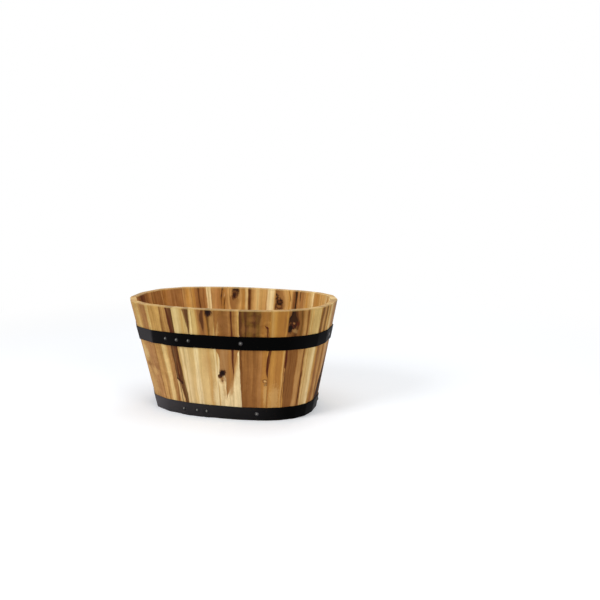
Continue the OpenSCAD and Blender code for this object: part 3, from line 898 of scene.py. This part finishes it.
def nail_places(node):
    """Where a CAD node's nails sit: the middle of each head's underside, the way out, and the sizes."""
    bm = carried_copy(node)
    found = []
    for nail in islands(bm):
        faces = {face for vert in nail for face in vert.link_faces if len(face.verts) > 12}
        tip_face = min(faces, key=lambda face: face.calc_area())
        tip, out = tip_face.calc_center_median(), -tip_face.normal
        rises = [((v.co - tip).dot(out), (v.co - tip - out * (v.co - tip).dot(out)).length) for v in nail]
        head = max(radius for _, radius in rises)
        seat = min(rise for rise, radius in rises if radius > head * 0.9)
        shank = max(radius for rise, radius in rises if rise < seat * 0.5)
        found.append((tip + out * seat, out.copy(), head, max(rise for rise, _ in rises) - seat, shank, seat))
    bm.free()
    return found


def nail_outline(settings, head, rise, shank, depth):
    """Half a nail's outline as (radius, height above the head's underside), from the crown to the tip."""
    dome = (head ** 2 + rise ** 2) / (2 * rise)
    flat, rim = math.asin(settings.flat / dome), math.asin(head * 0.97 / dome)
    turns = [flat + (rim - flat) * k / 7 for k in range(8)]
    line = [(0.0, dome * math.cos(flat))] + [(dome * math.sin(turn), dome * math.cos(turn)) for turn in turns]
    line = [(radius, height - dome + rise) for radius, height in line]
    return line + [(head, settings.lip), (head, 0.0), (shank, 0.0), (shank, 0.002 - depth), (0.0, -depth)]


def make_nails(node, material, draws):
    settings = bpy.context.scene.planter_nails
    whole = bmesh.new()
    for seat, out, head, rise, shank, depth in nail_places(node):
        bm = bmesh.new()
        line = nail_outline(settings, head, rise, shank, depth)
        points = [bm.verts.new((radius, 0.0, height)) for radius, height in line]
        edges = [bm.edges.new(pair) for pair in zip(points, points[1:])]
        bmesh.ops.spin(
            bm, geom=points + edges, cent=(0, 0, 0), axis=(0, 0, 1), angle=math.tau, steps=settings.steps,
            use_merge=True, use_duplicate=False,
        )
        bmesh.ops.remove_doubles(bm, verts=bm.verts, dist=1e-6)
        bmesh.ops.recalc_face_normals(bm, faces=bm.faces)
        turn = Vector((0, 0, 1)).rotation_difference(out).to_matrix().to_4x4()
        spin = Matrix.Rotation(draws.random() * math.tau, 4, "Z")
        bmesh.ops.transform(bm, matrix=Matrix.Translation(seat) @ turn @ spin, verts=bm.verts)
        # 1 where the painted highlight on the crown is strongest, a millimetre above its middle, and 0 at the
        # rim of the head
        layer = bm.verts.layers.float.new("crown")
        crown = seat + out * rise + Vector((0, 0, 0.001))
        for vert in bm.verts:
            vert[layer] = max(1 - (vert.co - crown).length / head, 0.0)
        for face in bm.faces:
            face.smooth = True
        nail = bpy.data.meshes.new("nail")
        bm.to_mesh(nail)
        bm.free()
        whole.from_mesh(nail)
        bpy.data.meshes.remove(nail)
    piece = finish_piece(whole, node + "_domed", node, material)
    piece.data.set_sharp_from_angle(angle=math.radians(50))


class PLANTER_OT_staves(bpy.types.Operator):
    """Make the staves, each with its own acacia grain"""

    bl_idname = "planter.staves"
    bl_label = "Staves"

    def execute(self, context):
        draws = random.Random(context.scene.planter_staves.seed)
        for number, node in enumerate(STAVES, 1):
            make_stave(node, number, draws)
        return {"FINISHED"}


class PLANTER_OT_bottom(bpy.types.Operator):
    """Make the bottom boards and finish the dowels between them"""

    bl_idname = "planter.bottom"
    bl_label = "Bottom"

    def execute(self, context):
        for number, node in enumerate(BOTTOM_BOARDS, 1):
            make_bottom_board(node, number)
        wood = context.scene.planter_wood
        finish = Finish(bpy.data.materials.new("turned_beech"))
        fleck = finish.noise(finish.object_place(), (900, 60, 900), 2.0, 2)
        colour = finish.mix(fleck, tuple(wood.honey), tuple(wood.cream))
        material = finish.surface(colour, 0.55 + fleck * 0.1, fleck, 0.0001, 0.3)
        NODES["bottom_dowels"].data.materials.clear()
        NODES["bottom_dowels"].data.materials.append(material)
        return {"FINISHED"}


class PLANTER_OT_hoops(bpy.types.Operator):
    """Make the two steel hoops"""

    bl_idname = "planter.hoops"
    bl_label = "Hoops"

    def execute(self, context):
        roughness = context.scene.planter_iron.roughness
        # Dust and painted sheen along each hoop: the share grows towards the left end, painting as grey paint
        # the sheen of the light from the left; the noise in black_paint adds the dust.
        upper = [(-0.127, 0.36), (-0.122, 0.06), (-0.05, 0.01), (0.14, 0.0), (0.19, 0.03)]
        lower = [(-0.14, 0.85), (-0.1, 0.42), (-0.05, 0.24), (0.02, 0.14), (0.08, 0.07), (0.13, 0.0)]
        make_hoop("upper_hoop", black_paint("upper_hoop_paint", upper, roughness, gloss=0.01))
        make_hoop("lower_hoop", black_paint("lower_hoop_paint", lower, roughness, gloss=0.02))
        return {"FINISHED"}


class PLANTER_OT_nails(bpy.types.Operator):
    """Make the dome-headed nails"""

    bl_idname = "planter.nails"
    bl_label = "Nails"

    def execute(self, context):
        settings = context.scene.planter_nails
        draws = random.Random(settings.seed)
        material = black_paint("nail_paint", [(0.0, 0.02)], roughness=0.24, gloss=0.2, painted_highlight=settings.painted_highlight_share)
        for node in NAIL_SETS:
            make_nails(node, material, draws)
        return {"FINISHED"}


def lamp(name, place, size, strength):
    light = bpy.data.lights.new(name, "AREA")
    light.shape = "DISK"
    light.size = size
    light.energy = strength
    holder = bpy.data.objects.new(name, light)
    bpy.context.scene.collection.objects.link(holder)
    holder.matrix_world = aimed(Vector(place), Vector((0, 0, RIM / 2)) - Vector(place))


def aimed(place, aim):
    """Where an object stands that looks along a direction."""
    return Matrix.Translation(place) @ aim.to_track_quat("-Z", "Y").to_matrix().to_4x4()


class PLANTER_OT_stage(bpy.types.Operator):
    """Make the floor, the lights, the surroundings and the camera"""

    bl_idname = "planter.stage"
    bl_label = "Stage"

    def execute(self, context):
        scene = context.scene
        stage = scene.planter_stage
        self.floor(scene, tuple(stage.floor))
        lamp("main_light", (-1.1, -1.5, 1.5), 1.1, stage.key)
        lamp("fill_light", (1.6, -1.1, 0.9), 1.2, stage.fill)
        lamp("top_light", (0.1, 0.1, 1.9), 1.3, stage.top)
        lamp("back_light", (0.4, 1.7, 1.2), 1.2, stage.back)
        self.surroundings(scene, stage.air)
        self.camera(scene)
        scene.view_settings.view_transform = "Standard"
        return {"FINISHED"}

    @staticmethod
    def seen(finish):
        """1 for the rays that should meet a white background, and 0 for the light on the object."""
        path = finish.add("ShaderNodeLightPath").socket.node
        rays = ("Is Camera Ray", "Is Glossy Ray", "Is Transmission Ray")
        camera, glossy, through = (Wire(finish, path.outputs[name]) for name in rays)
        return camera.most(glossy).most(through)

    def floor(self, scene, colour):
        bm = bmesh.new()
        bmesh.ops.create_grid(bm, x_segments=1, y_segments=1, size=6.0)
        mesh = bpy.data.meshes.new("floor")
        bm.to_mesh(mesh)
        bm.free()
        floor = bpy.data.objects.new("floor", mesh)
        scene.collection.objects.link(floor)
        mesh.materials.append(self.floor_finish(colour))

    def floor_finish(self, colour):
        """A pale floor that is white in the distance."""
        finish = Finish(bpy.data.materials.new("floor_finish"))
        lengths = finish.vector("LENGTH", finish.object_place()).socket.node.outputs
        far = Wire(finish, lengths["Value"]).rise(0.45, 1.3)
        lit = finish.add("ShaderNodeBsdfDiffuse", {}, {"Color": (*colour, 1.0)})
        seen = self.seen(finish)
        lift, white = (
            finish.add("ShaderNodeEmission", {}, {"Color": (1, 1, 1, 1), "Strength": strength})
            for strength in (seen * 0.19, 1.0)
        )
        near = finish.add("ShaderNodeAddShader", {}, {0: lit, 1: lift})
        mixed = finish.add("ShaderNodeMixShader", {}, {0: far * seen, 1: near, 2: white})
        finish.add("ShaderNodeOutputMaterial", {}, {0: mixed})
        return finish.owner

    def surroundings(self, scene, strength):
        scene.world = bpy.data.worlds.new("surroundings")
        finish = Finish(scene.world)
        light = self.seen(finish) * (1 - strength) + strength
        sky = finish.add("ShaderNodeBackground", {}, {"Color": (1, 1, 1, 1), "Strength": light})
        finish.add("ShaderNodeOutputWorld", {}, {0: sky})

    @staticmethod
    def camera(scene):
        """The camera stands and looks as fitted to the outlines of the rim, the hoops and the foot."""
        view = bpy.data.cameras.new("camera")
        view.sensor_width = 36
        view.lens = 45.035
        holder = bpy.data.objects.new("camera", view)
        scene.collection.objects.link(holder)
        roll = Matrix.Rotation(math.radians(-0.917), 4, "Z")
        place, aim = Vector((0.5517, -1.3172, 0.4765)), Vector((-0.29469, 0.93702, -0.18748))
        holder.matrix_world = aimed(place, aim) @ roll
        scene.camera = holder


class PLANTER_PT_sidebar(bpy.types.Panel):
    bl_label = "Oval barrel planter"
    bl_idname = "PLANTER_PT_sidebar"
    bl_space_type = "VIEW_3D"
    bl_region_type = "UI"
    bl_category = "Planter"

    def draw(self, context):
        for group, (kind, operator) in GROUPS.items():
            box = self.layout.box()
            for key in kind.__annotations__:
                box.prop(getattr(context.scene, group), key)
            if operator:
                box.operator(operator)


GROUPS = {
    "planter_wood": (PlanterWood, None),
    "planter_staves": (PlanterStaves, "planter.staves"),
    "planter_bottom": (PlanterBottom, "planter.bottom"),
    "planter_iron": (PlanterIron, "planter.hoops"),
    "planter_nails": (PlanterNails, "planter.nails"),
    "planter_stage": (PlanterStage, "planter.stage"),
}
CLASSES = [
    *(kind for kind, _ in GROUPS.values()), PLANTER_OT_staves, PLANTER_OT_bottom, PLANTER_OT_hoops,
    PLANTER_OT_nails, PLANTER_OT_stage, PLANTER_PT_sidebar,
]


def register():
    for kind in CLASSES:
        bpy.utils.register_class(kind)
    for name, (kind, _) in GROUPS.items():
        setattr(bpy.types.Scene, name, PointerProperty(type=kind))


def unregister():
    for name in GROUPS:
        delattr(bpy.types.Scene, name)
    for kind in reversed(CLASSES):
        bpy.utils.unregister_class(kind)


def main():
    register()
    bpy.ops.planter.staves()
    bpy.ops.planter.bottom()
    bpy.ops.planter.hoops()
    bpy.ops.planter.nails()
    bpy.ops.planter.stage()


if __name__ == "__main__":
    main()
